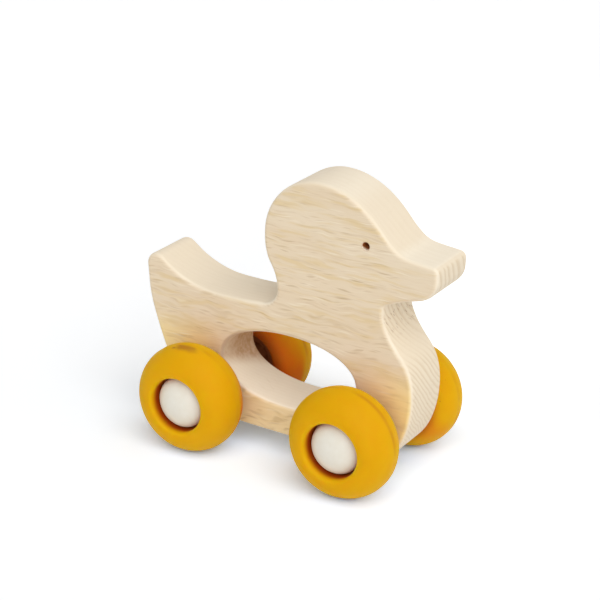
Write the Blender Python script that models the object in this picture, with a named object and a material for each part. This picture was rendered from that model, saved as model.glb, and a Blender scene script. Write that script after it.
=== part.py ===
"""Toddler push toy: a duck sawn from a beech board, rolling on two axles with silicone tyres.

Sizes are in metres. +X points past the bill, +Y to the duck's left and +Z up. The floor is at Z = 0, and
the origin lies under the middle of the toy's length and width. The duck's drawing is set out from the axle
line: its x runs forward from midway between the axles and its z up from their centres.
"""

import math

import bmesh
import bpy
from mathutils import Vector, geometry

# Fits: what is pressed together, and what turns
SEAT_GAP = 0.0003
RUNNING_GAP = 0.0003

# Board
BOARD_THICKNESS = 0.022
EDGE_RADIUS = 0.0016
WHEELBASE = 0.063

# Headings along the outline in degrees: 0 is forward, 90 is up
FORWARD = 0
UP = 90
BACKWARD = 180
DOWN = -90

# Tail, back and neck
TAIL_X = -0.060
TAIL_TOP_Z = 0.0452
TAIL_FACE_RADIUS = 0.0026
TAIL_HEADING = -39
BACK_X = -0.030
BACK_Z = 0.0361
NECK_X = -0.005
NECK_Z = 0.0375
NECK_RADIUS = 0.006
NECK_HEADINGS = (7, 91)
NAPE_X = -0.008
NAPE_Z = 0.0522
NAPE_HEADING = 124

# Head
HEAD_X = 0.0108
HEAD_Z = 0.064
HEAD_RADIUS = 0.0216

# Bill, set out from the corner at its tip
BILL_TIP_X = 0.0569
BILL_TIP_Z = 0.0649
BILL_TIP_FACE_RADIUS = 0.0009
BILL_TIP_HEADINGS = (-4, DOWN)
BROW_BACK = 0.0224
BROW_RISE = 0.0089
BROW_HEADING = -48
BILL_TOP_BACK = 0.0114
BILL_TOP_RISE = 0.001
BILL_TOP_HEADING = -7
BILL_FRONT_DROP = 0.0049
BILL_UNDER_BACK = 0.0074
BILL_UNDER_DROP = 0.0133
BILL_UNDER_HEADING = -167
CHIN_BACK = 0.0197
CHIN_DROP = 0.0179
CHIN_RADIUS = 0.0018
CHIN_HEADINGS = (-155, -94)

# Breast, belly and rump
BREAST_X = 0.0454
BREAST_Z = 0.0291
BREAST_HEADING = -49
CHEST_X = 0.0501
CHEST_Z = 0.014
BELLY_Z = -0.012
BELLY_FRONT_X = 0.033
BELLY_REAR_X = -0.018
RUMP_X = -0.0506
RUMP_Z = 0.007
RUMP_HEADING = 113

# Openings through the board; the eye is set out from the head's centre
GRIP_X = 0.0004
GRIP_Z = 0.0131
GRIP_LENGTH = 0.0546
GRIP_HEIGHT = 0.0268
GRIP_FULLNESS = 2.15
EYE_FORWARD = 0.0187
EYE_RISE = 0.0031
EYE_RADIUS = 0.0014
DRILLED_EDGE_RADIUS = 0.0003

# Axles, bushes and washers
AXLE_RADIUS = 0.0025
AXLE_CHAMFER = 0.0005
AXLE_IN_SOCKET = 0.0022
BUSH_WALL = 0.0012
SPACE_BETWEEN_BUSHES = 0.004
WASHER_LAND = 0.0032
WASHER_THICKNESS = 0.001

# Tyre
TYRE_RADIUS = 0.020
TYRE_WIDTH = 0.020
TYRE_BORE_RADIUS = 0.0102
TYRE_LIP_HEIGHT = 0.0011
TYRE_LIP_DEPTH = 0.0016
TYRE_TO_BOARD = 0.0031
GROOVE_DEPTH = 0.0017
GROOVE_WIDTH = 0.007

# Hub, sunk into the tyre from its front and back
HUB_BACK_DEPTH = 0.006
HUB_FRONT_DEPTH = 0.0057
HUB_BOSS_WALL = 0.0022
HUB_RIB_CHAMFER = 0.0008
SOCKET_DEPTH = 0.004

# Cap
CAP_GAP = 0.00075
CAP_RECESS = 0.0002
CAP_RIM = 0.0004
SPIGOT_WALL = 0.0026
AXLE_END_GAP = 0.0009

# Facets
CURVE_STEP = 8
EDGE_FACETS = 3
DRILLED_EDGE_FACETS = 1
GRIP_FACETS = 48
BORE_FACETS = 20
EYE_FACETS = 16
TYRE_FACETS = 36
SHOULDER_FACETS = 5
LIP_FACETS = 2
CAP_FACETS = 24
DOME_FACETS = 6
SMOOTH_ANGLE = 35

# Sizes and places that follow
AXLE_HEIGHT = TYRE_RADIUS
MIDDLE_X = (TAIL_X + BILL_TIP_X) / 2
HALF_BOARD = BOARD_THICKNESS / 2
HALF_TYRE = TYRE_WIDTH / 2
WHEEL_PLANE = HALF_BOARD + TYRE_TO_BOARD + HALF_TYRE
BUSH_BORE = AXLE_RADIUS + RUNNING_GAP
BUSH_RADIUS = BUSH_BORE + BUSH_WALL
BOARD_BORE = BUSH_RADIUS + SEAT_GAP
WASHER_INNER = HALF_BOARD + RUNNING_GAP
WASHER_OUTER = WASHER_INNER + WASHER_THICKNESS
BOSS_END = WASHER_OUTER + RUNNING_GAP
HUB_RADIUS = TYRE_BORE_RADIUS - SEAT_GAP
HUB_BORE = AXLE_RADIUS + SEAT_GAP
HUB_FRONT = HALF_TYRE - HUB_FRONT_DEPTH
SPIGOT_BORE = AXLE_RADIUS + AXLE_END_GAP
SPIGOT_RADIUS = SPIGOT_BORE + SPIGOT_WALL
SOCKET_RADIUS = SPIGOT_RADIUS + SEAT_GAP
SOCKET_FLOOR = HUB_FRONT - SOCKET_DEPTH
AXLE_END = WHEEL_PLANE + SOCKET_FLOOR + AXLE_IN_SOCKET


def heading_vector(heading):
    """Unit vector of a heading in degrees: 0 is forward along x, 90 is up along z."""
    return Vector((math.cos(math.radians(heading)), math.sin(math.radians(heading))))


def turn_between(heading_in, heading_out):
    """Signed turn in degrees, never more than half a turn either way."""
    return (heading_out - heading_in + 180) % 360 - 180


def through(x, z, heading):
    """A landmark that the outline passes at this heading."""
    return [(Vector((x, z)), heading)]


def corner(x, z, headings, radius):
    """The two landmarks where a fillet leaves one run and joins the next."""
    heading_in, heading_out = headings
    half_turn = math.radians(abs(turn_between(heading_in, heading_out))) / 2
    reach = radius * math.tan(half_turn)
    point = Vector((x, z))
    start = point - heading_vector(heading_in) * reach
    end = point + heading_vector(heading_out) * reach
    return [(start, heading_in), (end, heading_out)]


def smooth_loop(landmarks):
    """Closed loop of points through the landmarks. Two that lie on a circle are joined by its arc."""
    points = []
    for (start, heading_in), (end, heading_out) in zip(landmarks, landmarks[1:] + landmarks[:1]):
        turn = turn_between(heading_in, heading_out)
        reach = (end - start).length / (3 * math.cos(math.radians(turn) / 4) ** 2)
        handle_out = start + heading_vector(heading_in) * reach
        handle_in = end - heading_vector(heading_out) * reach
        steps = max(2, math.ceil(abs(turn) / CURVE_STEP))
        points += geometry.interpolate_bezier(start, handle_out, handle_in, end, steps + 1)[:-1]
    return points


def duck_loop():
    """The duck's outline, clockwise as seen from its right side, from tail over head to belly."""
    tail_radius = EDGE_RADIUS + TAIL_FACE_RADIUS
    tail_centre = Vector((TAIL_X + tail_radius, TAIL_TOP_Z - tail_radius))
    tail_end = tail_centre + heading_vector(TAIL_HEADING + UP) * tail_radius
    tip_radius = EDGE_RADIUS + BILL_TIP_FACE_RADIUS
    chin_x = BILL_TIP_X - CHIN_BACK
    chin_z = BILL_TIP_Z - CHIN_DROP
    landmarks = through(TAIL_X, tail_centre.y, UP)
    landmarks += through(tail_centre.x, TAIL_TOP_Z, FORWARD)
    landmarks += through(tail_end.x, tail_end.y, TAIL_HEADING)
    landmarks += through(BACK_X, BACK_Z, FORWARD)
    landmarks += corner(NECK_X, NECK_Z, NECK_HEADINGS, NECK_RADIUS)
    landmarks += through(NAPE_X, NAPE_Z, NAPE_HEADING)
    landmarks += through(HEAD_X - HEAD_RADIUS, HEAD_Z, UP)
    landmarks += through(HEAD_X, HEAD_Z + HEAD_RADIUS, FORWARD)
    landmarks += through(BILL_TIP_X - BROW_BACK, BILL_TIP_Z + BROW_RISE, BROW_HEADING)
    landmarks += through(BILL_TIP_X - BILL_TOP_BACK, BILL_TIP_Z + BILL_TOP_RISE, BILL_TOP_HEADING)
    landmarks += corner(BILL_TIP_X, BILL_TIP_Z, BILL_TIP_HEADINGS, tip_radius)
    landmarks += through(BILL_TIP_X, BILL_TIP_Z - BILL_FRONT_DROP, DOWN)
    landmarks += through(BILL_TIP_X - BILL_UNDER_BACK, BILL_TIP_Z - BILL_UNDER_DROP, BILL_UNDER_HEADING)
    landmarks += corner(chin_x, chin_z, CHIN_HEADINGS, CHIN_RADIUS)
    landmarks += through(BREAST_X, BREAST_Z, BREAST_HEADING)
    landmarks += through(CHEST_X, CHEST_Z, DOWN)
    landmarks += through(BELLY_FRONT_X, BELLY_Z, BACKWARD)
    landmarks += through(BELLY_REAR_X, BELLY_Z, BACKWARD)
    landmarks += through(RUMP_X, RUMP_Z, RUMP_HEADING)
    return smooth_loop(landmarks)


def oval_loop(x, z, length, height, facets, fullness=2.0):
    """Closed clockwise loop of an oval. A fullness of 2 is an ellipse, and more squares it off."""
    points = []
    for step in range(facets):
        angle = -2 * math.pi * step / facets
        across = math.copysign(abs(math.cos(angle)) ** (2 / fullness), math.cos(angle))
        up = math.copysign(abs(math.sin(angle)) ** (2 / fullness), math.sin(angle))
        points.append(Vector((x + length / 2 * across, z + height / 2 * up)))
    return points


def left_normals(loop):
    """Unit normals to the left of the way along the loop."""
    normals = []
    for before, after in zip(loop[-1:] + loop[:-1], loop[1:] + loop[:1]):
        along = (after - before).normalized()
        normals.append(Vector((-along.y, along.x)))
    return normals


def add_wall(mesh, loop, edge_radius, edge_facets, wood_side):
    """A wall from face to face with rounded edges. The wood lies left (1) or right (-1) of the loop.

    Returns the edges of the wall's two rims.
    """
    normals = left_normals(loop)
    angles = [math.pi / 2 * step / edge_facets for step in range(edge_facets + 1)]
    sections = [(-1, angle) for angle in reversed(angles)] + [(1, angle) for angle in angles]
    rings = []
    for side, angle in sections:
        y = side * (HALF_BOARD - edge_radius * (1 - math.sin(angle)))
        into_wood = wood_side * edge_radius * (1 - math.cos(angle))
        shifted = [point + normal * into_wood for point, normal in zip(loop, normals)]
        rings.append([mesh.verts.new((point.x, y, point.y)) for point in shifted])
    for low, high in zip(rings, rings[1:]):
        for index in range(len(loop)):
            following = (index + 1) % len(loop)
            mesh.faces.new((low[index], low[following], high[following], high[index]))
    rims = []
    for ring in (rings[0], rings[-1]):
        pairs = zip(ring, ring[1:] + ring[:1])
        rims.append([mesh.edges.get(pair) for pair in pairs])
    return rims


def finish_mesh(name, mesh):
    """Turns an edit mesh into a mesh with outward faces, smooth except at its sharp edges."""
    bmesh.ops.recalc_face_normals(mesh, faces=mesh.faces)
    data = bpy.data.meshes.new(name)
    mesh.to_mesh(data)
    mesh.free()
    data.shade_smooth()
    data.set_sharp_from_angle(angle=math.radians(SMOOTH_ANGLE))
    return data


def board_mesh():
    """The sawn duck with its grip hole, eye and two cross bores."""
    mesh = bmesh.new()
    grip = oval_loop(GRIP_X, GRIP_Z, GRIP_LENGTH, GRIP_HEIGHT, GRIP_FACETS, GRIP_FULLNESS)
    eye = oval_loop(HEAD_X + EYE_FORWARD, HEAD_Z + EYE_RISE, 2 * EYE_RADIUS, 2 * EYE_RADIUS, EYE_FACETS)
    walls = [add_wall(mesh, duck_loop(), EDGE_RADIUS, EDGE_FACETS, -1)]
    walls.append(add_wall(mesh, grip, EDGE_RADIUS, EDGE_FACETS, 1))
    walls.append(add_wall(mesh, eye, DRILLED_EDGE_RADIUS, DRILLED_EDGE_FACETS, 1))
    for axle_x in (-WHEELBASE / 2, WHEELBASE / 2):
        bore = oval_loop(axle_x, 0, 2 * BOARD_BORE, 2 * BOARD_BORE, BORE_FACETS)
        walls.append(add_wall(mesh, bore, DRILLED_EDGE_RADIUS, DRILLED_EDGE_FACETS, 1))
    for rims, facing in zip(zip(*walls), (-1, 1)):
        edges = [edge for rim in rims for edge in rim]
        bmesh.ops.triangle_fill(mesh, edges=edges, use_beauty=True, normal=(0, facing, 0))
    return finish_mesh("duck_body", mesh)


def turned_mesh(name, profile, facets, closed=True):
    """Turns a profile of (axial, radius) points about the axle's line, which runs along Y."""
    mesh = bmesh.new()
    verts = [mesh.verts.new((radius, axial, 0)) for axial, radius in profile]
    pairs = list(zip(verts, verts[1:]))
    if closed:
        pairs.append((verts[-1], verts[0]))
    edges = [mesh.edges.new(pair) for pair in pairs]
    bmesh.ops.spin(
        mesh,
        geom=verts + edges,
        cent=(0, 0, 0),
        axis=(0, 1, 0),
        angle=2 * math.pi,
        steps=facets,
        use_merge=True,
    )
    bmesh.ops.remove_doubles(mesh, verts=mesh.verts, dist=SEAT_GAP / 100)
    return finish_mesh(name, mesh)


def quarter_oval(facets):
    """Pairs of (cosine, sine) over a quarter turn, ends included."""
    angles = [math.pi / 2 * step / facets for step in range(facets + 1)]
    return [(math.cos(angle), math.sin(angle)) for angle in angles]


def tyre_mesh():
    """A round-shouldered silicone ring with a groove inside for the hub's rib."""
    crest = TYRE_BORE_RADIUS + TYRE_LIP_HEIGHT
    groove_side = GROOVE_WIDTH / 2
    half = [(groove_side, TYRE_BORE_RADIUS + GROOVE_DEPTH), (groove_side, TYRE_BORE_RADIUS)]
    for down, out in quarter_oval(LIP_FACETS)[:-1]:
        half.append((HALF_TYRE - TYRE_LIP_DEPTH * (1 - out), crest - TYRE_LIP_HEIGHT * down))
    for across, up in quarter_oval(SHOULDER_FACETS):
        half.append((HALF_TYRE * across, crest + (TYRE_RADIUS - crest) * up))
    mirrored = [(-axial, radius) for axial, radius in half[-2::-1]]
    return turned_mesh("tyre", half + mirrored, TYRE_FACETS)


def hub_mesh():
    """A moulded core: boss and bore for the axle, rib for the tyre, socket for the cap."""
    back = HUB_BACK_DEPTH - HALF_TYRE
    boss_face = BOSS_END - WHEEL_PLANE
    boss_radius = HUB_BORE + HUB_BOSS_WALL
    rib_radius = TYRE_BORE_RADIUS + GROOVE_DEPTH - SEAT_GAP
    rib_side = GROOVE_WIDTH / 2 - SEAT_GAP
    profile = [
        (boss_face, HUB_BORE),
        (boss_face, boss_radius),
        (back, boss_radius),
        (back, HUB_RADIUS),
        (-rib_side, HUB_RADIUS),
        (-rib_side, rib_radius),
        (rib_side - HUB_RIB_CHAMFER, rib_radius),
        (rib_side, rib_radius - HUB_RIB_CHAMFER),
        (rib_side, HUB_RADIUS),
        (HUB_FRONT, HUB_RADIUS),
        (HUB_FRONT, SOCKET_RADIUS),
        (SOCKET_FLOOR, SOCKET_RADIUS),
        (SOCKET_FLOOR, HUB_BORE),
    ]
    return turned_mesh("hub", profile, BORE_FACETS)


def cap_mesh():
    """A domed cover with a hollow spigot behind it that clears the axle's end."""
    cap_radius = TYRE_BORE_RADIUS - CAP_GAP
    cap_back = HUB_FRONT + SEAT_GAP
    dome_base = cap_back + CAP_RIM
    dome_rise = HALF_TYRE - CAP_RECESS - dome_base
    spigot_end = SOCKET_FLOOR + SEAT_GAP
    hollow_end = SOCKET_FLOOR + AXLE_IN_SOCKET + AXLE_END_GAP
    profile = []
    for up, out in quarter_oval(DOME_FACETS):
        profile.append((dome_base + dome_rise * up, cap_radius * out))
    profile += [
        (cap_back, cap_radius - CAP_RIM),
        (cap_back, SPIGOT_RADIUS),
        (spigot_end, SPIGOT_RADIUS),
        (spigot_end, SPIGOT_BORE),
        (hollow_end, SPIGOT_BORE),
        (hollow_end, 0),
    ]
    return turned_mesh("cap", profile, CAP_FACETS, closed=False)


def axle_mesh():
    """A plain rod with chamfered ends."""
    half = [
        (AXLE_END, 0),
        (AXLE_END, AXLE_RADIUS - AXLE_CHAMFER),
        (AXLE_END - AXLE_CHAMFER, AXLE_RADIUS),
    ]
    mirrored = [(-axial, radius) for axial, radius in half[::-1]]
    return turned_mesh("axle", half + mirrored, BORE_FACETS, closed=False)


def ring_mesh(name, bore, radius, inner_end, outer_end):
    """A plain sleeve or washer."""
    profile = [(inner_end, bore), (inner_end, radius), (outer_end, radius), (outer_end, bore)]
    return turned_mesh(name, profile, BORE_FACETS)


def new_material(name, colour, roughness, metallic=0.0):
    """A plain material in the piece's own colour."""
    material = bpy.data.materials.new(name)
    material.use_nodes = True
    shader = material.node_tree.nodes["Principled BSDF"]
    shader.inputs["Base Color"].default_value = (*colour, 1)
    shader.inputs["Roughness"].default_value = roughness
    shader.inputs["Metallic"].default_value = metallic
    return material


def place(name, mesh, material, parent, y=0.0, half_turn=False):
    """Puts a piece on its parent, turned about Z for the right-hand side."""
    if not mesh.materials:
        mesh.materials.append(material)
    piece = bpy.data.objects.new(name, mesh)
    piece.parent = parent
    piece.location = (0, y, 0)
    piece.rotation_euler = (0, 0, math.pi if half_turn else 0)
    bpy.context.scene.collection.objects.link(piece)
    return piece


def place_empty(name, location, parent=None):
    """A datum that pieces hang on."""
    empty = bpy.data.objects.new(name, None)
    empty.location = location
    empty.parent = parent
    bpy.context.scene.collection.objects.link(empty)
    return empty


for old in list(bpy.data.objects):
    bpy.data.objects.remove(old, do_unlink=True)

beech = new_material("beech", (0.75, 0.60, 0.41), 0.6)
silicone = new_material("mustard_silicone", (0.79, 0.42, 0.015), 0.55)
hub_plastic = new_material("hub_plastic", (0.38, 0.13, 0.045), 0.45)
cap_plastic = new_material("cap_plastic", (0.80, 0.77, 0.68), 0.4)
steel = new_material("axle_steel", (0.62, 0.62, 0.63), 0.3, metallic=1.0)
bush_nylon = new_material("bush_nylon", (0.72, 0.71, 0.66), 0.5)
washer_nylon = new_material("washer_nylon", (0.76, 0.75, 0.70), 0.5)

tyre = tyre_mesh()
hub = hub_mesh()
cap = cap_mesh()
axle = axle_mesh()
bush = ring_mesh("bush", BUSH_BORE, BUSH_RADIUS, SPACE_BETWEEN_BUSHES / 2, HALF_BOARD)
washer = ring_mesh("washer", BUSH_BORE, BUSH_BORE + WASHER_LAND, WASHER_INNER, WASHER_OUTER)

toy = place_empty("toy", (-MIDDLE_X, 0, AXLE_HEIGHT))
place("duck_body", board_mesh(), beech, toy)
for end, axle_x in (("front", WHEELBASE / 2), ("rear", -WHEELBASE / 2)):
    bearings = place_empty(end + "_bearings", (axle_x, 0, 0), toy)
    wheelset = place_empty(end + "_wheelset", (axle_x, 0, 0), toy)
    place(end + "_axle", axle, steel, wheelset)
    for side, is_right in (("left", False), ("right", True)):
        corner_name = end + "_" + side
        wheel_y = -WHEEL_PLANE if is_right else WHEEL_PLANE
        place(corner_name + "_bush", bush, bush_nylon, bearings, half_turn=is_right)
        place(corner_name + "_washer", washer, washer_nylon, bearings, half_turn=is_right)
        place(corner_name + "_tyre", tyre, silicone, wheelset, wheel_y, is_right)
        place(corner_name + "_hub", hub, hub_plastic, wheelset, wheel_y, is_right)
        place(corner_name + "_cap", cap, cap_plastic, wheelset, wheel_y, is_right)
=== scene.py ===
import math

import bmesh
import bpy
from mathutils import Matrix, Vector, geometry


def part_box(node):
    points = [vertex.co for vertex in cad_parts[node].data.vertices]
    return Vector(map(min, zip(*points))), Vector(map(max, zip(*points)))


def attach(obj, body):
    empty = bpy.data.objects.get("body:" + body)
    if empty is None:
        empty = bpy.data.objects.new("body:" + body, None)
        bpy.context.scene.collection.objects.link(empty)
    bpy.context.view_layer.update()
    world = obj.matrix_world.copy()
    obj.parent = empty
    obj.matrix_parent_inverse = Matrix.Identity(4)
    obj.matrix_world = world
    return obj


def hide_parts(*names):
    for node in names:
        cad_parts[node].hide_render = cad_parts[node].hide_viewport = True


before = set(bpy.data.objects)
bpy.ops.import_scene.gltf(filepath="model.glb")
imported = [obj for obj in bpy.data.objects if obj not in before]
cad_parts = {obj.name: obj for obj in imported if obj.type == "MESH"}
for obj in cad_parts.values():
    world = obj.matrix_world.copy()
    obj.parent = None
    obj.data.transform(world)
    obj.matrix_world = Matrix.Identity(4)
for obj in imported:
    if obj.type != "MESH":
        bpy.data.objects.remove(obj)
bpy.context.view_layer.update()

# Duck board
# One slab of solid beech, sawn to a duck's outline, with the grip hole cut and the eye drilled.
# Two cross bores take the axles' bushes. Every sawn edge is rounded over and sanded.
MM = 1000.0
EDGE_ROUNDING = 0.0016
EDGE_FACETS = 8
DRILLED_ROUNDING = 0.0003
DRILLED_FACETS = 2
OUTLINE_STEP = 0.0011
DRILLED_STEP = 0.0003
GRAIN_DEPTH = 0.00008
SAME_PLACE = 1e-6
PLACE_DIGITS = 6
half_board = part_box("duck_body")[1].y


def loops_at(node, y):
    """Closed loops of (x, z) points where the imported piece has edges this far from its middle."""
    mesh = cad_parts[node].data
    places = {}
    for vertex in mesh.vertices:
        if abs(vertex.co.y - y) < SAME_PLACE:
            place = (round(vertex.co.x, PLACE_DIGITS), round(vertex.co.z, PLACE_DIGITS))
            places[vertex.index] = place
    neighbours = {}
    for edge in mesh.edges:
        start, end = (places.get(index) for index in edge.vertices)
        if start and end and start != end:
            neighbours.setdefault(start, set()).add(end)
            neighbours.setdefault(end, set()).add(start)
    loops = []
    while neighbours:
        following = [min(neighbours)]
        loop = []
        while following:
            loop.append(min(following))
            following = [point for point in neighbours.pop(loop[-1]) if point in neighbours]
        loops.append([Vector(point) for point in loop])
    return sorted(loops, key=len)


def finer_loop(loop, step):
    """The same closed loop with points about a step apart, on curves that keep its headings."""
    finer = []
    for index, start in enumerate(loop):
        end = loop[(index + 1) % len(loop)]
        reach = (end - start).length / 3
        handle_out = start + (end - loop[index - 1]).normalized() * reach
        handle_in = end - (loop[(index + 2) % len(loop)] - start).normalized() * reach
        count = math.ceil(3 * reach / step)
        finer += geometry.interpolate_bezier(start, handle_out, handle_in, end, count + 1)[:-1]
    return finer


def wound(loop, anticlockwise):
    """The loop, turned round if it runs the other way."""
    turns = sum(start.cross(end) for start, end in zip(loop, loop[1:] + loop[:1]))
    return loop if (turns > 0) == anticlockwise else loop[::-1]


def skin_over(mesh, rings):
    """Adds smooth faces between each closed ring of points and the next."""
    for low, high in zip(rings, rings[1:]):
        for index in range(len(low)):
            corners = (low[index - 1], low[index], high[index], high[index - 1])
            mesh.faces.new(corners).smooth = True


def board_wall(mesh, loop, rounding, facets):
    """A wall through the board along a loop with its wood on the left, rounded at both faces.

    Returns the edges of its two rims.
    """
    normals = []
    for before, after in zip(loop[-1:] + loop[:-1], loop[1:] + loop[:1]):
        way = (after - before).normalized()
        normals.append(Vector((-way.y, way.x)))
    turns = [math.pi / 2 * step / facets for step in range(facets + 1)]
    sections = [(-1, turn) for turn in reversed(turns)] + [(1, turn) for turn in turns]
    rings = []
    for side, turn in sections:
        y = side * (half_board - rounding * (1 - math.sin(turn)))
        inset = rounding * (1 - math.cos(turn))
        eased = [point + normal * inset for point, normal in zip(loop, normals)]
        rings.append([mesh.verts.new((point.x, y, point.y)) for point in eased])
    skin_over(mesh, rings)
    rims = []
    for ring in (rings[0], rings[-1]):
        rims.append([mesh.edges.get(pair) for pair in zip(ring, ring[1:] + ring[:1])])
    return rims


def new_mesh(name, mesh):
    """Mesh data from an edit mesh, with its faces pointing out."""
    bmesh.ops.recalc_face_normals(mesh, faces=mesh.faces)
    data = bpy.data.meshes.new(name)
    mesh.to_mesh(data)
    mesh.free()
    return data


def placed(name, data):
    """A new object in the scene, from its mesh, lamp or camera data."""
    thing = bpy.data.objects.new(name, data)
    bpy.context.scene.collection.objects.link(thing)
    return thing


grip_loop, outline_loop = loops_at("duck_body", half_board - EDGE_ROUNDING)
eye_loop, *bore_loops = loops_at("duck_body", half_board - DRILLED_ROUNDING)
eye_middle = sum(eye_loop, Vector((0, 0))) / len(eye_loop)
eye_radius = (eye_loop[0] - eye_middle).length

board_mesh = bmesh.new()
board_walls = []
for sawn, has_wood_inside in ((outline_loop, True), (grip_loop, False)):
    sawn = wound(finer_loop(sawn, OUTLINE_STEP), has_wood_inside)
    board_walls.append(board_wall(board_mesh, sawn, EDGE_ROUNDING, EDGE_FACETS))
for drilled in (eye_loop, *bore_loops):
    drilled = wound(finer_loop(drilled, DRILLED_STEP), False)
    board_walls.append(board_wall(board_mesh, drilled, DRILLED_ROUNDING, DRILLED_FACETS))
for rims, facing in zip(zip(*board_walls), (-1, 1)):
    rim_edges = [edge for rim in rims for edge in rim]
    bmesh.ops.triangle_fill(board_mesh, edges=rim_edges, use_beauty=True, normal=(0, facing, 0))
duck_board = placed("duck_board", new_mesh("duck_board", board_mesh))


class Wire:
    """A shader socket that sums can be written with: each adds its Math node."""

    def __init__(self, wiring, socket):
        self.wiring = wiring
        self.socket = socket

    def output(self, name):
        """Another output of the same node."""
        return Wire(self.wiring, self.socket.node.outputs[name])

    def __add__(self, other):
        return self.wiring.maths("ADD", self, other)

    def __sub__(self, other):
        return self.wiring.maths("SUBTRACT", self, other)

    def __rsub__(self, other):
        return self.wiring.maths("SUBTRACT", other, self)

    def __mul__(self, other):
        return self.wiring.maths("MULTIPLY", self, other)

    def __truediv__(self, other):
        return self.wiring.maths("DIVIDE", self, other)

    def __pow__(self, other):
        return self.wiring.maths("POWER", self, other)

    def __abs__(self):
        return self.wiring.maths("ABSOLUTE", self)

    __radd__ = __add__
    __rmul__ = __mul__


class Wiring:
    """A tree of shader nodes, filled one node at a time."""

    def __init__(self, tree):
        self.nodes = tree.nodes
        self.links = tree.links

    def feed(self, socket, value):
        """Gives a socket its value, or a link."""
        if isinstance(value, Wire):
            self.links.new(value.socket, socket)
        else:
            socket.default_value = value

    def node(self, kind, settings=(), inputs=(), output=0):
        """Adds a node: its settings first, then the values or links of its sockets."""
        node = self.nodes.new("ShaderNode" + kind)
        for name, value in dict(settings).items():
            setattr(node, name, value)
        for name, value in dict(inputs).items():
            self.feed(node.inputs[name], value)
        return Wire(self, node.outputs[output])

    def maths(self, operation, *values):
        return self.node("Math", {"operation": operation}, enumerate(values))

    def mix(self, share, first, second):
        """A colour between two, the second where the share is 1."""
        mixed = {"data_type": "RGBA", "clamp_factor": True}
        return self.node("Mix", mixed, {0: share, 6: first, 7: second}, output=2)

    def rise(self, value, low, high):
        """0 where the value is below low, 1 above high, smooth between. High may be the lower."""
        smooth = {"interpolation_type": "SMOOTHSTEP"}
        return self.node("MapRange", smooth, {"Value": value, "From Min": low, "From Max": high})

    def vector(self, x, y, z):
        return self.node("CombineXYZ", (), {"X": x, "Y": y, "Z": z})

    def parts(self, vector):
        """The x of a vector. Its Y and Z outputs are the others."""
        return self.node("SeparateXYZ", (), {"Vector": vector})

    def noise(self, place, size, detail=2.0, roughness=0.5):
        """Soft noise from 0 to 1, with lumps of about this size along the place's three parts."""
        lumps = self.vector(*(part / length for part, length in zip(place, size)))
        look = {"Scale": 1.0, "Detail": detail, "Roughness": roughness}
        return self.node("TexNoise", (), {"Vector": lumps, **look})

    def cells(self, vector):
        """The distance to the nearest of scattered points, and a number that differs per point."""
        near = self.node("TexVoronoi", (), {"Vector": vector, "Scale": 1.0})
        return near, self.node("SeparateColor", (), {"Color": near.output("Color")})


class Finish(Wiring):
    """A material: one surface shader, and the nodes in front of it that paint its colour.

    Places and sizes on it are in millimetres, relief depths and sky distances in metres.
    """

    def __init__(self, name, **surface):
        self.material = bpy.data.materials.new(name)
        self.material.use_nodes = True
        super().__init__(self.material.node_tree)
        self.surface(**surface)
        self.place = self.millimetres()
        self.colour = None

    def surface(self, **values):
        """Sets or feeds the surface shader's sockets, named in words joined by underscores."""
        sockets = self.nodes["Principled BSDF"].inputs
        for name, value in values.items():
            self.feed(sockets[name.replace("_", " ").title().replace("Ior", "IOR")], value)

    def millimetres(self):
        """The place on the piece in millimetres, as x, y and z."""
        place = {"Vector": self.node("TexCoord", output="Object"), "Scale": MM}
        x = self.parts(self.node("VectorMath", {"operation": "SCALE"}, place))
        return x, x.output("Y"), x.output("Z")

    def paint(self, colour, where, share=1.0):
        """Lays a colour over what is painted so far, as far as where and share say."""
        self.colour = self.mix(where if share == 1.0 else where * share, self.colour, colour)

    def relief(self, height, depth):
        """Bumps the surface by a height from 0 to 1, worth this depth in metres."""
        bump = {"Height": height, "Distance": depth, "Strength": 1.0}
        self.surface(normal=self.node("Bump", (), bump))


def tint(red, green, blue):
    """A screen colour, each part 0 to 255, as the shader's linear values."""
    def linear(part):
        share = part / 255
        return share / 12.92 if share <= 0.04045 else ((share + 0.055) / 1.055) ** 2.4

    return (linear(red), linear(green), linear(blue), 1.0)


# The log's heart runs along the duck, beyond its left face and level with the top of its head.
# These lengths are in millimetres. A size is along the duck, then across and up, or round the
# heart and away from it.
HEART_Y = 70.0
HEART_Z = 105.0
RING_RADIUS = 74.0
RINGS_INSIDE = 7.4
RING_CROWDING = 3.2
RING_WANDER = 4.5
RING_WAVE = 0.6
AROUND_RADIUS = 90.0
AROUND_WAVE = 2.6
YEAR_SPREAD = 1.2
YEAR_SIZE = (5.0, 1.0, 1.0)
WANDER_SIZE = (40.0, 18.0, 18.0)
WAVE_SIZE = (10.0, 4.0, 4.0)
TONE_SIZE = (50.0, 9.0, 8.0)
PATCH_SIZE = (18.0, 14.0, 12.0)
FIBRE_SIZE = (7.0, 0.7, 0.9)
LINE_SIZE = (18.0, 0.9, 3.0)
STREAK_SIZE = (15.0, 1.5, 5.0)
RAGGED_SIZE = (5.0, 2.5, 2.5)
RAY_REACH = 22.0
ROW_STAGGER = 0.35
LONG_RAYS = {"length": 10.0, "breadth": 0.95, "depth": RAY_REACH, "shift": 0.0}
SHORT_RAYS = {"length": 6.0, "breadth": 0.7, "depth": RAY_REACH, "shift": 31.0}
PALE_RAYS = {"length": 11.0, "breadth": 0.8, "depth": RAY_REACH, "shift": 57.0}
TORN_MARKS = {"length": 2.5, "breadth": 3.2, "depth": 0.5, "shift": 11.0}
LEGS_MIDDLE = 2.0
GRIP_FADE = 1.5
GRIP_MARGIN = 0.2
GRIP_END_FADE = 14.0
GRIP_END_LENGTH = 5.0
BEECH_FACE = tint(236, 218, 190)
BEECH_TAN = tint(231, 209, 177)
BEECH_SAWN = tint(239, 223, 197)
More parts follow.
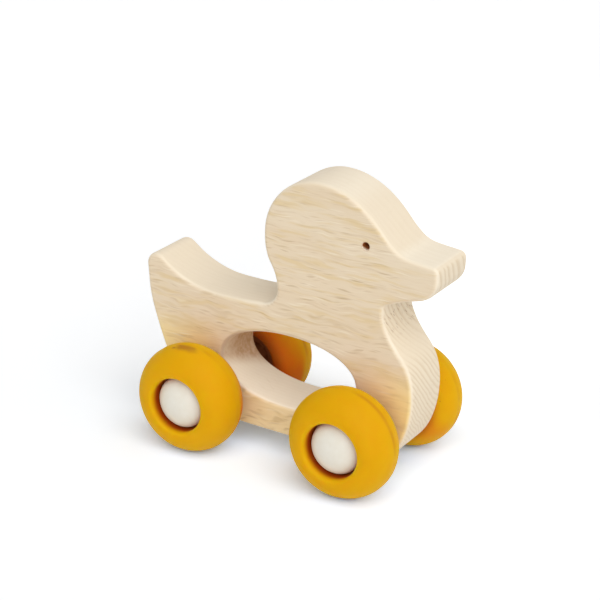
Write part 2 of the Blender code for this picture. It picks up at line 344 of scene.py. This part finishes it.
BEECH_GOLD = tint(226, 199, 142)
BEECH_HONEY_AND_PAINTED_LIGHT = tint(255, 226, 142)
BEECH_LATE = tint(206, 178, 134)
BEECH_RAY = tint(178, 142, 82)
BEECH_PALE_AND_HIGHLIGHT = tint(252, 241, 220)
BEECH_TORN = tint(152, 104, 54)
BEECH_RAGGED_AND_SHADE = tint(176, 120, 46)
BEECH_SCORCHED_AND_SHADE = tint(166, 98, 48)
grip_xs = [point.x * MM for point in grip_loop]
grip_zs = [point.y * MM for point in grip_loop]
grip_rear = min(grip_xs)
grip_reach = (max(grip_xs) - grip_rear) / 2
grip_middle = grip_rear + grip_reach
grip_level = sum(grip_zs) / len(grip_zs)
grip_half = (max(grip_zs) - min(grip_zs)) / 2


class Beech(Finish):
    """Solid beech: rings round the log's heart, fibres along the duck, and rays as brown flecks."""

    def __init__(self):
        super().__init__("beech", specular_ior_level=0.5)
        facing = self.parts(self.node("TexCoord", output="Normal"))
        self.upward = facing.output("Z")
        self.end_grain = self.rise(abs(facing), 0.7, 0.97)
        self.face_grain = self.rise(abs(facing.output("Y")), 0.6, 0.95)
        self.patch = self.noise(self.place, PATCH_SIZE, detail=1.0)
        self.find_rings()
        self.find_grip()
        self.paint_ground()
        self.paint_grain()
        self.paint_rays()
        self.paint_torn_ends()
        self.paint_edges()
        self.paint_eye()
        self.surface(base_color=self.colour, roughness=0.5 + self.rays * 0.15 + self.fibre * 0.1)
        raised = self.fibre * (0.3 - self.end_grain * 0.22)
        sunk = self.rays * 0.15 + self.late_wood * self.end_grain * 0.3
        self.relief(0.5 + raised - sunk, GRAIN_DEPTH)

    def find_rings(self):
        """Finds the way round the log's heart, the distance from it, and the rings' late wood."""
        x, y, z = self.place
        wander = self.noise(self.place, WANDER_SIZE, detail=1.0) - 0.5
        wave = self.noise(self.place, WAVE_SIZE, detail=1.0) - 0.5
        across = y - HEART_Y
        above = z - HEART_Z
        off_heart = self.maths("SQRT", across * across + above * above)
        radius = off_heart + wander * RING_WANDER + wave * RING_WAVE
        around = self.maths("ARCTAN2", above, across) * AROUND_RADIUS + wave * AROUND_WAVE
        years = (radius / RING_RADIUS) ** RING_CROWDING * RINGS_INSIDE
        years = years + self.noise((radius, 0.0, 0.0), YEAR_SIZE, detail=1.0) * YEAR_SPREAD
        season = self.maths("FRACT", years)
        self.late_wood = self.rise(season, 0.3, 0.85) * self.rise(season, 1.0, 0.88)
        self.in_log = (x, around, radius)

    def find_grip(self):
        """Finds the grip hole's wall, the rear end of that wall, and the faces beside that end."""
        x, _, z = self.place
        level = self.rise(abs(z - grip_level), grip_half + GRIP_FADE, grip_half + GRIP_MARGIN)
        along = self.rise(abs(x - grip_middle), grip_reach + GRIP_FADE, grip_reach + GRIP_MARGIN)
        end = self.rise(x, grip_rear + GRIP_END_FADE, grip_rear + GRIP_END_LENGTH)
        end = end * self.rise(x, grip_rear - GRIP_FADE, grip_rear - GRIP_MARGIN) * level
        self.in_grip = level * along * (1 - self.face_grain)
        self.in_grip_end = end * (1 - self.face_grain)
        self.beside_grip_end = end * self.face_grain

    def dashes(self, length, breadth, depth, shift):
        """Short lens-shaped marks in staggered rows, each with its own strength."""
        x, around, radius = self.in_log
        row = around / breadth
        step = x / length + row * ROW_STAGGER + shift
        near, strength = self.cells(self.vector(step, row, radius / depth))
        return self.rise(near, 0.42, 0.1) * self.rise(strength, 0.3, 1.0)

    def paint_ground(self):
        """The faces with their tan drifts, the paler sawn parts, and painted highlights on upward
        parts.
        """
        x = self.place[0]
        tone = self.noise(self.place, TONE_SIZE)
        self.colour = BEECH_FACE
        self.paint(BEECH_TAN, self.rise(tone, 0.35, 0.7), share=0.6)
        self.paint(BEECH_SAWN, 1 - self.face_grain)
        # Painted highlight on the grip hole's upward wall.
        self.paint(BEECH_PALE_AND_HIGHLIGHT, self.in_grip * self.rise(self.upward, 0.1, 0.8), share=0.9)
        # Painted highlight on the top of the head and bill.
        crown = self.rise(self.upward, 0.8, 0.97) * self.rise(x, 0.0, 30.0)
        self.paint(BEECH_PALE_AND_HIGHLIGHT, crown, share=0.55)

    def paint_grain(self):
        """Late wood, fibres and lines, golden tone with painted light on the legs and low down, and
        golden streaks.
        """
        x, _, z = self.place
        self.fibre = self.noise(self.in_log, FIBRE_SIZE, roughness=0.6)
        line = self.noise(self.in_log, LINE_SIZE, detail=1.0)
        streak = self.noise(self.in_log, STREAK_SIZE)
        ringed = 0.04 + self.end_grain * (0.36 - self.in_grip_end * 0.3)
        self.paint(BEECH_LATE, self.late_wood * ringed)
        self.paint(BEECH_LATE, self.rise(self.fibre, 0.5, 0.8) * (0.04 + self.face_grain * 0.1))
        self.paint(BEECH_LATE, self.rise(line, 0.54, 0.74) * self.face_grain, share=0.3)
        self.low = self.rise(z, 32.0, 18.0)
        legs = self.rise(abs(x - LEGS_MIDDLE), 22.0, 38.0) * self.rise(z, 48.0, 30.0)
        # Golden tone, partly the wood's own and partly painted light lifting the shade on the legs
        # and low down.
        honey_and_painted_light = self.maths("MAXIMUM", legs, self.low * 0.5)
        honey_and_painted_light = honey_and_painted_light * (0.7 + self.rise(self.patch, 0.4, 0.65) * 0.3)
        self.paint(BEECH_HONEY_AND_PAINTED_LIGHT, honey_and_painted_light * self.face_grain)
        self.paint(BEECH_GOLD, self.rise(streak, 0.48, 0.7) * self.face_grain, share=0.55)

    def paint_rays(self):
        """Rays as pale and brown flecks, mostly on the faces. The brown ones fade at the bill."""
        x = self.place[0]
        seen = 0.06 + self.rise(self.patch, 0.5, 0.7) * 0.12 + self.face_grain * 0.82
        rays = self.maths("MAXIMUM", self.dashes(**LONG_RAYS), self.dashes(**SHORT_RAYS) * 0.7)
        rays = rays * seen * (0.55 + self.rise(self.patch, 0.35, 0.7) * 0.45)
        self.rays = rays * self.rise(x, 54.0, 40.0) * (0.85 + self.low * 0.5)
        self.paint(BEECH_PALE_AND_HIGHLIGHT, self.dashes(**PALE_RAYS) * self.face_grain, share=0.4)
        self.paint(BEECH_RAY, self.rays, share=0.7)

    def paint_torn_ends(self):
        """Fibres that the saw tore: marks in the throat, and the grip's ragged rear wall, darkened
        as painted shade.
        """
        x, y, z = self.place
        throat = self.rise(z, 50.0, 60.0) * self.rise(z, 70.0, 66.0) * self.rise(x, 34.0, 37.0)
        torn = self.dashes(**TORN_MARKS) * self.end_grain * (1 - self.in_grip_end)
        self.paint(BEECH_TORN, torn * (0.16 + throat * 0.7))
        ragged_and_shade = self.noise(self.place, RAGGED_SIZE, detail=4.0, roughness=0.65)
        ragged_and_shade = 0.55 + self.rise(ragged_and_shade, 0.35, 0.7) * 0.3
        # Ragged fibres and painted shade in the grip's deep rear end, stronger towards the far face
        # and higher up.
        ragged_and_shade = ragged_and_shade * (0.4 + self.rise(y, -9.0, 1.0) * 0.5)
        ragged_and_shade = ragged_and_shade * self.rise(z + y * 0.3, grip_level - 8, grip_level - 3)
        self.paint(BEECH_RAGGED_AND_SHADE, self.in_grip_end * ragged_and_shade)

    def paint_edges(self):
        """The rounded edges, pale both as sanded wood and as painted highlight, and browned at the
        grip's rear end.
        """
        half = half_board * MM
        rounding = EDGE_ROUNDING * MM
        off_middle = abs(self.place[1])
        sanded_and_highlight = self.rise(off_middle, half - rounding * 0.9, half - rounding * 0.5)
        sanded_and_highlight = sanded_and_highlight * self.rise(off_middle, half - 0.02, half - rounding * 0.25)
        # Pale on the roundings: partly sanded wood, partly painted highlight.
        self.paint(BEECH_PALE_AND_HIGHLIGHT, sanded_and_highlight * (0.1 + self.rise(self.patch, 0.3, 0.7) * 0.3))
        rim = self.rise(off_middle, half - 0.01, half - 0.3)
        browned_edges = sanded_and_highlight * self.in_grip_end + self.beside_grip_end * rim
        # Browner edges and rim at the grip's rear end.
        self.paint(BEECH_TORN, browned_edges, share=0.35)

    def paint_eye(self):
        """The drilled eye: scorched and darkened with painted shade inside, starting nearer the
        mouth above than below, where the lower wall is left lit, and a little at its rim.
        """
        x, y, z = self.place
        reach = eye_radius * MM
        eye_x = x - eye_middle.x * MM
        eye_z = z - eye_middle.y * MM
        off_eye = self.maths("SQRT", eye_x * eye_x + eye_z * eye_z)
        in_eye = self.rise(off_eye, reach + 0.3, reach + 0.1)
        low_in_eye = self.rise(eye_z, 0.0, reach * -0.9)
        depth = half_board * MM - abs(y)
        deep_in_eye = self.rise(depth, low_in_eye * 0.3, 0.5 + low_in_eye * 1.8)
        rim = self.rise(off_eye, reach + 0.5, reach + 0.1) * self.face_grain
        # Scorch and painted shade inside the eye, lighter on its lower wall near the mouth.
        self.paint(BEECH_SCORCHED_AND_SHADE, self.maths("MAXIMUM", in_eye * deep_in_eye, rim * 0.3))


duck_board.data.materials.append(Beech().material)
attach(duck_board, "duck")
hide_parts("duck_body")

# Axles, bushes and washers
# Two drawn steel rods turn in sleeves of natural nylon, which are pressed into the cross bores.
# Thin nylon washers lie loose on the rods and keep the wheels off the wood.
DRAWN_MARKS = (0.08, 20.0, 0.08)
STEEL_DULL = tint(188, 188, 190)
STEEL_BRIGHT = tint(214, 214, 216)
MOULDED_CLOUD = (3.0, 3.0, 3.0)
MOULDED_SKIN = (0.2, 0.2, 0.2)
BUSH_PALE = tint(224, 222, 213)
BUSH_WARM = tint(214, 210, 198)
WASHER_PALE = tint(230, 228, 220)
WASHER_WARM = tint(218, 215, 205)
FINE_DEPTH = 0.00001


def steel_finish():
    """Drawn rod with fine marks along its length."""
    steel = Finish("axle_steel", metallic=1.0)
    drawn = steel.noise(steel.place, DRAWN_MARKS)
    steel.surface(base_color=steel.mix(drawn, STEEL_DULL, STEEL_BRIGHT))
    steel.surface(roughness=0.25 + drawn * 0.2)
    steel.relief(drawn, FINE_DEPTH)
    return steel.material


def moulded_finish(name, pale, warm):
    """Moulded nylon or plastic, slightly clouded."""
    moulded = Finish(name, specular_ior_level=0.4)
    cloud = moulded.noise(moulded.place, MOULDED_CLOUD, detail=3.0)
    moulded.surface(base_color=moulded.mix(cloud, pale, warm), roughness=0.4 + cloud * 0.2)
    moulded.relief(moulded.noise(moulded.place, MOULDED_SKIN, detail=1.0), FINE_DEPTH)
    return moulded.material


def dress(ending, material):
    """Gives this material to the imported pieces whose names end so."""
    for node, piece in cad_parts.items():
        if node.endswith(ending):
            piece.data.materials.clear()
            piece.data.materials.append(material)


dress("axle", steel_finish())
dress("bush", moulded_finish("bush_nylon", BUSH_PALE, BUSH_WARM))
dress("washer", moulded_finish("washer_nylon", WASHER_PALE, WASHER_WARM))

# Hubs
# Brown moulded cores, pressed on the axles. Each holds its tyre on a rib and the cap in a socket.
# Only the recessed back and its boss show, in the gap between the tyre and the board.
# Their brown is painted shade for that dark recess.
HUB_SHADE_PALE = tint(170, 102, 58)
HUB_SHADE_DARK = tint(154, 90, 50)
dress("hub", moulded_finish("hub_plastic", HUB_SHADE_PALE, HUB_SHADE_DARK))

# Tyres
# Soft mustard silicone rings, moulded in two halves, so that a fine line runs round the tread.
# They are pulled over the hubs' ribs, and have a rolled lip round the opening.
TYRE_LIP_HEIGHT = 0.0011
TYRE_LIP_DEPTH = 0.0016
TYRE_BORE = 0.0102
GROOVE_DEPTH = 0.0017
GROOVE_WIDTH = 0.007
SEAM_DEPTH = 0.00006
SEAM_HALF = 0.0008
SEAM_SQUARENESS = 4
SHOULDER_FACETS = 30
SHOULDER_CROWDING = 1.4
LIP_FACETS = 8
TYRE_FACETS = 128
SHARP_TURN = math.radians(40)
BLOOM_SIZE = (6.0, 6.0, 6.0)
WORN_SIZE = (7.0, 30.0, 7.0)
SMEAR_SIZE = (3.0, 1.6, 1.0)
SPECK_APART = 5.0
TYRE_SKIN = (0.25, 0.25, 0.25)
TYRE_SKIN_DEPTH = 0.00002
SKY_DISTANCE = 0.05
SKY_RAYS = 16
SILICONE_PALE = tint(224, 173, 0)
SILICONE_FULL = tint(219, 164, 0)
SILICONE_OPENING_SHADE = tint(182, 74, 10)
SILICONE_SHADE = tint(220, 112, 26)
SILICONE_BEHIND_SHADE = tint(132, 54, 16)
SILICONE_SEAM = tint(196, 126, 14)
SILICONE_SCUFF = tint(158, 94, 30)
RUB_AT = math.radians(135.0)
SCUFF_AT = math.radians(-93.0)
SCUFF_OFF_MIDDLE = 2.0
DARK_SPOT_OFF_MIDDLE = 2.8
DARK_SPOT_FROM_SCUFF = -4.5
TYRE_ROLLS = {"front_right": 0.0, "rear_right": 180.0, "front_left": 180.0, "rear_left": 90.0}


def turned(name, section, facets):
    """Mesh data turned about Y from a closed section of (along, radius) points, outer side +Y."""
    mesh = bmesh.new()
    rings = []
    for step in range(facets):
        turn = 2 * math.pi * step / facets
        across, up = math.cos(turn), math.sin(turn)
        rings.append([mesh.verts.new((r * across, along, r * up)) for along, r in section])
    skin_over(mesh, rings + rings[:1])
    bmesh.ops.remove_doubles(mesh, verts=mesh.verts, dist=SAME_PLACE)
    data = new_mesh(name, mesh)
    data.set_sharp_from_angle(angle=SHARP_TURN)
    return data


def tyre_section(radius, half_width):
    """Half an oval over the tread, with the mould line, lips and a groove for the hub's rib."""
    crest = TYRE_BORE + TYRE_LIP_HEIGHT
    half = [(GROOVE_WIDTH / 2, TYRE_BORE + GROOVE_DEPTH), (GROOVE_WIDTH / 2, TYRE_BORE)]
    for step in range(LIP_FACETS):
        turn = math.pi / 2 * step / LIP_FACETS
        along = half_width - TYRE_LIP_DEPTH * (1 - math.sin(turn))
        half.append((along, crest - TYRE_LIP_HEIGHT * math.cos(turn)))
    for step in range(SHOULDER_FACETS + 1):
        turn = math.pi / 2 * (1 - (1 - step / SHOULDER_FACETS) ** SHOULDER_CROWDING)
        along = half_width * math.cos(turn)
        seam = SEAM_DEPTH * math.exp(-((along / SEAM_HALF) ** SEAM_SQUARENESS))
        half.append((along, crest + (radius - crest) * math.sin(turn) - seam))
    return half + [(-along, r) for along, r in half[-2::-1]]


class Silicone(Finish):
    """Matt silicone: an even mustard with painted shade inside, worn places and specks."""

    def __init__(self):
        super().__init__(
            "mustard_silicone",
            specular_ior_level=0.1,
            subsurface_weight=0.9,
            subsurface_radius=(1.0, 0.3, 0.05),
            subsurface_scale=0.011,
        )
        bloom = self.noise(self.place, BLOOM_SIZE, detail=3.0)
        self.colour = self.mix(bloom, SILICONE_PALE, SILICONE_FULL)
        self.paint_shade()
        self.wear()
        self.surface(base_color=self.colour, roughness=0.55 + bloom * 0.1)
        self.relief(self.noise(self.place, TYRE_SKIN), TYRE_SKIN_DEPTH)

    def paint_shade(self):
        """Painted shade: where the tyre faces the board and little sky is open, in the opening and
        behind it.
        """
        x, y, z = self.place
        radius = self.maths("SQRT", x * x + z * z)
        crest = (TYRE_BORE + TYRE_LIP_HEIGHT) * MM
        sky = {"Distance": SKY_DISTANCE}
        open_sky = self.node("AmbientOcclusion", {"samples": SKY_RAYS}, sky, output="AO")
        above_floor = self.parts(self.node("NewGeometry", output="Position")).output("Z")
        enclosed = self.rise(open_sky, 0.58, 0.24) * self.rise(above_floor, 0.003, 0.016)
        # Painted shade where the tyre's inner side faces the board and little sky is open.
        self.paint(SILICONE_SHADE, enclosed * self.rise(y, -0.5, -3.5), share=0.9)
        in_opening = self.rise(radius, crest + 0.2, crest - 0.7) * self.rise(abs(y), 9.7, 6.4)
        # Painted shade on the opening's wall.
        self.paint(SILICONE_OPENING_SHADE, in_opening)
        behind = self.rise(y, -5.0, -9.0) * self.rise(radius, crest + 5.0, crest)
        # Painted shade on the back, towards the hub.
        self.paint(SILICONE_BEHIND_SHADE, behind, share=0.65)

    def wear(self):
        """The mould line, faint but for one rubbed stretch, a scuff with a dark spot, and specks.
        """
        x, y, z = self.place
        worn = self.rise(self.noise(self.place, WORN_SIZE, detail=1.0), 0.45, 0.65)
        self.paint(SILICONE_SEAM, self.rise(abs(y), 1.0, 0.5) * (0.04 + worn * 0.25))

        tread = tyre_radius * MM
        around = self.maths("ARCTAN2", z, x) * tread
        smear = self.noise((around, y, 0.0), SMEAR_SIZE, detail=1.5)
        off_rub = around - RUB_AT * tread
        rubbed = self.rise(abs(y), 1.5, 0.1) * self.rise(abs(off_rub), 15.0, 8.0)
        rubbed = rubbed * (0.45 + smear * 0.4 - self.rise(off_rub, -8.0, 6.0) * 0.25)
        self.paint(SILICONE_SEAM, rubbed)

        off_scuff = around - SCUFF_AT * tread
        scuff = self.rise(abs(y - SCUFF_OFF_MIDDLE) + smear, 2.9, 1.0)
        scuff = scuff * self.rise(abs(off_scuff) + smear * 3, 7.5, 3.0)
        dark_spot = self.rise(abs(y - DARK_SPOT_OFF_MIDDLE), 0.8, 0.2)
        dark_spot = dark_spot * self.rise(abs(off_scuff - DARK_SPOT_FROM_SCUFF), 1.3, 0.3)
        self.paint(SILICONE_SCUFF, self.maths("MAXIMUM", scuff, dark_spot), share=0.7)

        spread = self.vector(x / SPECK_APART, y / SPECK_APART, z / SPECK_APART)
        near, strength = self.cells(spread)
        speck = self.rise(near, 0.07, 0.04) * self.rise(strength, 0.6, 0.7)
        self.paint(SILICONE_SCUFF, speck, share=0.7)


tyre_low, tyre_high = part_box("front_left_tyre")
tyre_radius = (tyre_high.z - tyre_low.z) / 2
tyre_half = (tyre_high.y - tyre_low.y) / 2
tyre_data = turned("tyre", tyre_section(tyre_radius, tyre_half), TYRE_FACETS)
tyre_data.materials.append(Silicone().material)
wheel_middles = {}
for end in ("front", "rear"):
    for side, half_turn in (("left", 0.0), ("right", math.pi)):
        corner = end + "_" + side
        low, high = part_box(corner + "_tyre")
        wheel_middles[corner] = (low + high) / 2
        tyre = placed(corner + "_tyre_ring", tyre_data)
        tyre.location = wheel_middles[corner]
        tyre.rotation_euler = (0, math.radians(TYRE_ROLLS[corner]), half_turn)
        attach(tyre, end + "_wheelset")
        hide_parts(corner + "_tyre")

# Caps
# Off-white domed covers of plastic, moulded with a satin skin and a small rolled rim.
# A hollow spigot behind each dome is pressed into the hub's socket.
CAP_RIM = 0.0004
DOME_FACETS = 28
CAP_FACETS = 96
SPIGOT_RADIUS = 0.006
SPIGOT_BORE = 0.0034
SPIGOT_LENGTH = 0.004
SPIGOT_HOLLOW = 0.0028
CAP_CLOUD = (2.5, 2.5, 2.5)
CAP_SKIN = (0.3, 0.3, 0.3)
CAP_PALE = tint(238, 235, 224)
CAP_WARM = tint(230, 224, 209)


def cap_section(radius, apex, spigot_end):
    """Half a section of (along, radius) points: the dome, the rim and the hollow spigot."""
    back = spigot_end + SPIGOT_LENGTH
    base = back + CAP_RIM
    section = []
    for step in range(DOME_FACETS + 1):
        turn = math.pi / 2 * step / DOME_FACETS
        section.append((base + (apex - base) * math.cos(turn), radius * math.sin(turn)))
    for step in range(1, LIP_FACETS + 1):
        turn = math.pi / 2 * step / LIP_FACETS
        along = base - CAP_RIM * math.sin(turn)
        section.append((along, radius - CAP_RIM * (1 - math.cos(turn))))
    hollow = spigot_end + SPIGOT_HOLLOW
    section += [(back, SPIGOT_RADIUS), (spigot_end, SPIGOT_RADIUS), (spigot_end, SPIGOT_BORE)]
    section += [(hollow, SPIGOT_BORE), (hollow, 0.0)]
    return section


def cap_finish():
    """Satin off-white with faint clouding."""
    cap = Finish("cap_plastic", specular_ior_level=0.45)
    cloud = cap.noise(cap.place, CAP_CLOUD, detail=3.0)
    cap.surface(base_color=cap.mix(cloud, CAP_PALE, CAP_WARM), roughness=0.35 + cloud * 0.15)
    cap.relief(cap.noise(cap.place, CAP_SKIN, detail=1.0), FINE_DEPTH)
    return cap.material


cap_low, cap_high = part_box("front_left_cap")
cap_radius = (cap_high.z - cap_low.z) / 2
wheel_y = wheel_middles["front_left"].y
cap_points = cap_section(cap_radius, cap_high.y - wheel_y, cap_low.y - wheel_y)
cap_data = turned("cap", cap_points, CAP_FACETS)
cap_data.materials.append(cap_finish())
for corner, middle in wheel_middles.items():
    cap = placed(corner + "_domed_cap", cap_data)
    cap.location = middle
    cap.rotation_euler = (0, 0, math.pi if middle.y < 0 else 0.0)
    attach(cap, corner.split("_")[0] + "_wheelset")
    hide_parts(corner + "_cap")

# Floor
# A plain white sheet of paper that the toy stands on. It shows as white and keeps the soft shadow.
# Where the toy covers it, painted light lightens the shadow and offsets the yellow light that the
# toy throws; behind it lies a painted pool of light.
FLOOR_HALF = 4.0
FLOOR_WHITE = (1.15, 1.15, 1.15, 1.0)
FLOOR_PAINTED_LIGHT_BESIDE = (1.23, 1.45, 1.69, 1.0)
FLOOR_PAINTED_LIGHT_UNDER = (1.36, 1.62, 1.98, 1.0)
FLOOR_PAINTED_LIGHT_AT_FEET = (0.95, 1.5, 2.6, 1.0)
FLOOR_PAINTED_LIGHT_BEHIND = (1.4, 1.4, 1.4, 1.0)
FLOOR_BOUNCE = (0.92, 0.92, 0.92, 1.0)
COVER_DISTANCE = 0.3
FOOT_REACH = 27.0
BEHIND_MIDDLE = -15.0


def seen_directly(wiring):
    """1 for rays that show the background: from the camera, or by way of gloss or glass."""
    seen = wiring.node("LightPath", output="Is Camera Ray")
    return seen + seen.output("Is Glossy Ray") + seen.output("Is Transmission Ray")


def paper_finish():
    """White paper, with painted light beside the toy, under it, at the tyres' feet and behind it.
    """
    paper = Finish("floor_paper")
    x, y, _ = paper.place
    sky = {"Distance": COVER_DISTANCE}
    covered = 1 - paper.node("AmbientOcclusion", {"samples": SKY_RAYS}, sky, output="AO")
    front, rear = (wheel_middles[corner] * MM for corner in ("front_left", "rear_left"))
    from_foot_x = abs(x - (front.x + rear.x) / 2) - (front.x - rear.x) / 2
    from_foot_y = abs(y) - front.y
    from_foot = paper.maths("SQRT", from_foot_x * from_foot_x + from_foot_y * from_foot_y)
    at_feet = paper.maths("MAXIMUM", 1 - from_foot / FOOT_REACH, 0.0) ** 2.0
    behind = paper.rise(y, 35.0, 60.0) * paper.rise(abs(x - BEHIND_MIDDLE), 90.0, 45.0)

    paper.colour = FLOOR_WHITE
    # Painted pool of light behind the toy.
    paper.paint(FLOOR_PAINTED_LIGHT_BEHIND, behind)
    # Painted light beside the toy: a lighter shadow, tinted against its yellow bounce.
    paper.paint(FLOOR_PAINTED_LIGHT_BESIDE, covered)
    # Painted light in the deepest shadow under the toy.
    paper.paint(FLOOR_PAINTED_LIGHT_UNDER, paper.rise(covered, 0.76, 0.9))
    # Painted light at the tyres' feet, tinted against their yellow bounce.
    paper.paint(FLOOR_PAINTED_LIGHT_AT_FEET, covered * at_feet)
    shown = paper.mix(seen_directly(paper), FLOOR_BOUNCE, paper.colour)
    matt = paper.node("BsdfDiffuse", (), {"Color": shown})
    paper.feed(paper.nodes["Material Output"].inputs["Surface"], matt)
    return paper.material


floor_mesh = bmesh.new()
bmesh.ops.create_grid(floor_mesh, x_segments=1, y_segments=1, size=FLOOR_HALF)
floor = placed("floor", new_mesh("floor", floor_mesh))
floor.data.materials.append(paper_finish())

# Light
# A white room, brighter past the bill than behind the tail, with four broad soft lamps in it.
# The main lamp is high in front, one is past the bill, one low beside the toy and one behind it.
ROOM_PAST_BILL = (0.63, 0.635, 0.64, 1.0)
ROOM_BEHIND_TAIL = (0.28, 0.285, 0.29, 1.0)
ROOM_WHITE = (1.0, 1.0, 1.0, 1.0)
LAMP_SPREAD = math.radians(55)
LAMPS = {
    "main_lamp": ((0.43, -0.42, 0.8), 1.19),
    "bill_lamp": ((0.82, 0.0, 0.57), 0.14),
    "side_lamp": ((0.3, -0.88, 0.37), 0.53),
    "back_lamp": ((-0.15, 0.6, 0.78), 0.13),
}

world = bpy.data.worlds.new("white_room")
world.use_nodes = True
bpy.context.scene.world = world
room = Wiring(world.node_tree)
towards_bill = room.parts(room.node("TexCoord", output="Generated")) * 0.5 + 0.5
room_light = room.mix(towards_bill, ROOM_BEHIND_TAIL, ROOM_PAST_BILL)
room_colour = room.mix(seen_directly(room), room_light, ROOM_WHITE)
room.feed(room.nodes["Background"].inputs["Color"], room_colour)

for name, (from_where, strength) in LAMPS.items():
    lamp_data = bpy.data.lights.new(name, "SUN")
    lamp_data.angle = LAMP_SPREAD
    lamp_data.energy = strength
    lamp = placed(name, lamp_data)
    lamp.rotation_euler = Vector(from_where).to_track_quat("Z", "Y").to_euler()

# Camera
# It stands in front of the duck's right side and looks down on it, a little tilted.
# Its lens is given by the focal length in pixels of the square picture.
AZIMUTH = math.radians(30.25)
ELEVATION = math.radians(22.70)
ROLL = math.radians(1.86)
TARGET = Vector((-0.00008, 0.0, 0.05644))
DISTANCE = 0.6567
FOCAL_PIXELS = 1861.5
IMAGE_PIXELS = 600
SENSOR = 36.0

back = Vector((
    math.sin(AZIMUTH) * math.cos(ELEVATION),
    -math.cos(AZIMUTH) * math.cos(ELEVATION),
    math.sin(ELEVATION),
))
level_right = Vector((math.cos(AZIMUTH), math.sin(AZIMUTH), 0.0))
level_up = back.cross(level_right)
right = level_right * math.cos(ROLL) + level_up * math.sin(ROLL)
up = level_up * math.cos(ROLL) - level_right * math.sin(ROLL)
camera_data = bpy.data.cameras.new("camera")
camera_data.sensor_width = SENSOR
camera_data.lens = FOCAL_PIXELS / IMAGE_PIXELS * SENSOR
camera = placed("camera", camera_data)
turn_to_view = Matrix((right, up, back)).transposed().to_4x4()
camera.matrix_world = Matrix.Translation(TARGET + back * DISTANCE) @ turn_to_view
bpy.context.scene.camera = camera
bpy.context.scene.view_settings.view_transform = "Standard"
